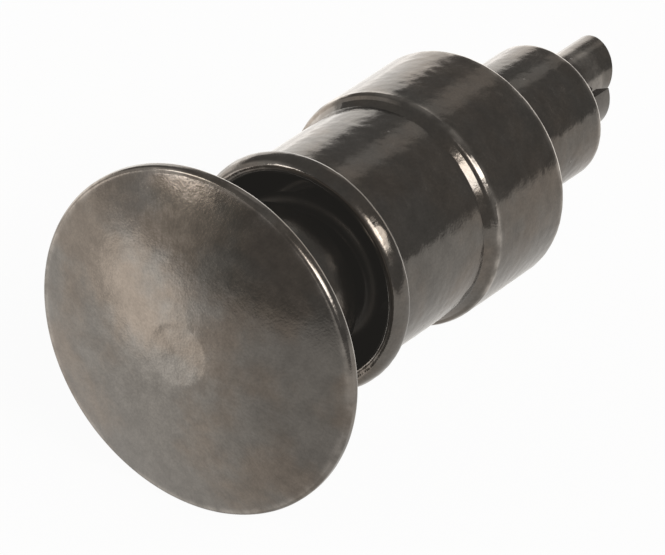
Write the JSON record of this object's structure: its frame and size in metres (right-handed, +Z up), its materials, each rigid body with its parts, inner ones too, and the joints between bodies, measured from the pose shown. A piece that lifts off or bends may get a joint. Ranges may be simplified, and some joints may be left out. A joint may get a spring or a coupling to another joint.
{
  "type": "sprung buffer for a model railway vehicle",
  "caption": "Model railway sprung buffer: domed round head with hub, coil spring, stepped round housing with a rolled lip and a mounting spigot, and a split stem.",
  "frame": {"origin": "centre of the head's face, on the small flat in the middle of the dome", "axes": "-Y out of the head's face, +Y along the buffer's axis towards the mounting spigot, +Z up"},
  "size_m": [0.0054, 0.0114, 0.0054],
  "materials": {
    "head_steel": "blackened steel, burnished, satin gloss with brown and blue-grey patches",
    "stem_steel": "blackened steel, satin gloss",
    "spring_steel": "black spring steel, gloss",
    "housing_steel": "blackened steel with a finely mottled skin, gloss, edges worn lighter"
  },
  "bodies": {
    "housing": {"housing": "housing_steel"},
    "spring": {"coil_spring": "spring_steel"},
    "plunger": {"buffer_head": "head_steel", "split_stem": "stem_steel"}
  },
  "joints": [
    {"name": "plunger_slide", "type": "slide", "parent": "housing", "child": "spring", "axis": [0, 1, 0], "range_m": [0, 0.002], "deforming": ["coil_spring"]},
    {"name": "plunger_spin", "type": "hinge", "parent": "spring", "child": "plunger", "pos_m": [0, 0, 0], "axis": [0, 1, 0], "continuous": true}
  ]
}
